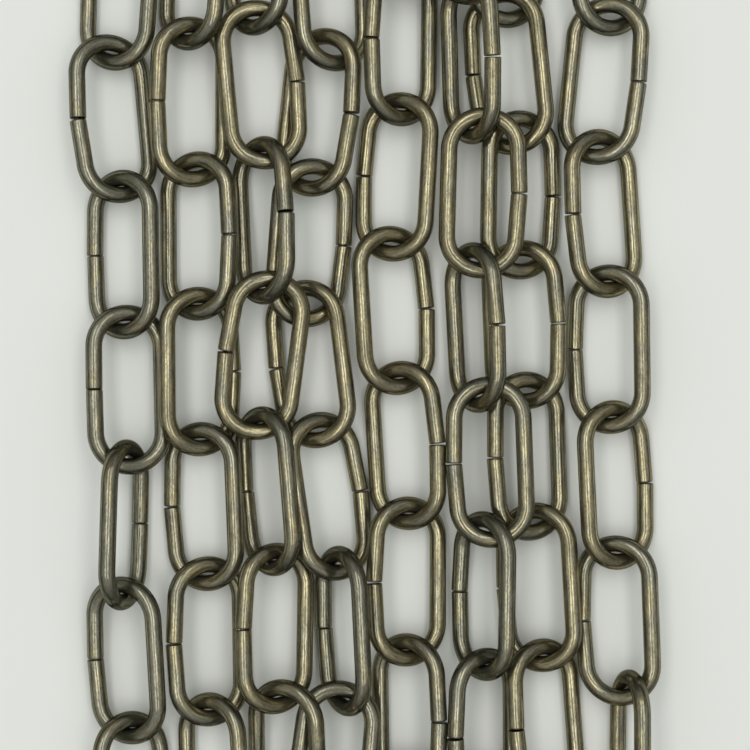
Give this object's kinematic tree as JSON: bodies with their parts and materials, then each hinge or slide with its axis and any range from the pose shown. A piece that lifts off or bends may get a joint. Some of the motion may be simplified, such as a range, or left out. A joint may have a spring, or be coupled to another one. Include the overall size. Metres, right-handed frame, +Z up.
{
  "type": "heap of chain",
  "caption": "Length of decorative chain with long oval wire links in an aged brass finish, folded back and forth into a flat heap.",
  "frame": {"origin": "middle of the heap's outline in plan, on the floor it lies on", "axes": "+Y along the runs of chain, towards the end with the two free ends, +X across the runs, +Z up"},
  "size_m": [0.1352, 0.2486, 0.0198],
  "materials": {
    "antique_brass": "aged brass plating on steel wire, dark brown with worn brassy streaks, semi-gloss"
  },
  "bodies": {
    "root": {"link_01": "antique_brass", "link_02": "antique_brass", "link_03": "antique_brass", "link_04": "antique_brass", "link_05": "antique_brass", "link_06": "antique_brass", "link_07": "antique_brass", "link_08": "antique_brass", "link_09": "antique_brass", "link_10": "antique_brass", "link_11": "antique_brass", "link_12": "antique_brass", "link_13": "antique_brass", "link_14": "antique_brass", "link_15": "antique_brass", "link_16": "antique_brass", "link_17": "antique_brass", "link_18": "antique_brass", "link_19": "antique_brass", "link_20": "antique_brass", "link_21": "antique_brass", "link_22": "antique_brass", "link_23": "antique_brass", "link_24": "antique_brass", "link_25": "antique_brass", "link_26": "antique_brass", "link_27": "antique_brass", "link_28": "antique_brass", "link_29": "antique_brass", "link_30": "antique_brass", "link_31": "antique_brass", "link_32": "antique_brass", "link_33": "antique_brass", "link_34": "antique_brass", "link_35": "antique_brass", "link_36": "antique_brass", "link_37": "antique_brass", "link_38": "antique_brass", "link_39": "antique_brass", "link_40": "antique_brass", "link_41": "antique_brass", "link_42": "antique_brass", "link_43": "antique_brass", "link_44": "antique_brass", "link_45": "antique_brass", "link_46": "antique_brass", "link_47": "antique_brass", "link_48": "antique_brass", "link_49": "antique_brass", "link_50": "antique_brass", "link_51": "antique_brass", "link_52": "antique_brass", "link_53": "antique_brass", "link_54": "antique_brass", "link_55": "antique_brass", "link_56": "antique_brass", "link_57": "antique_brass", "link_58": "antique_brass", "link_59": "antique_brass", "link_60": "antique_brass"}
  },
  "joints": []
}
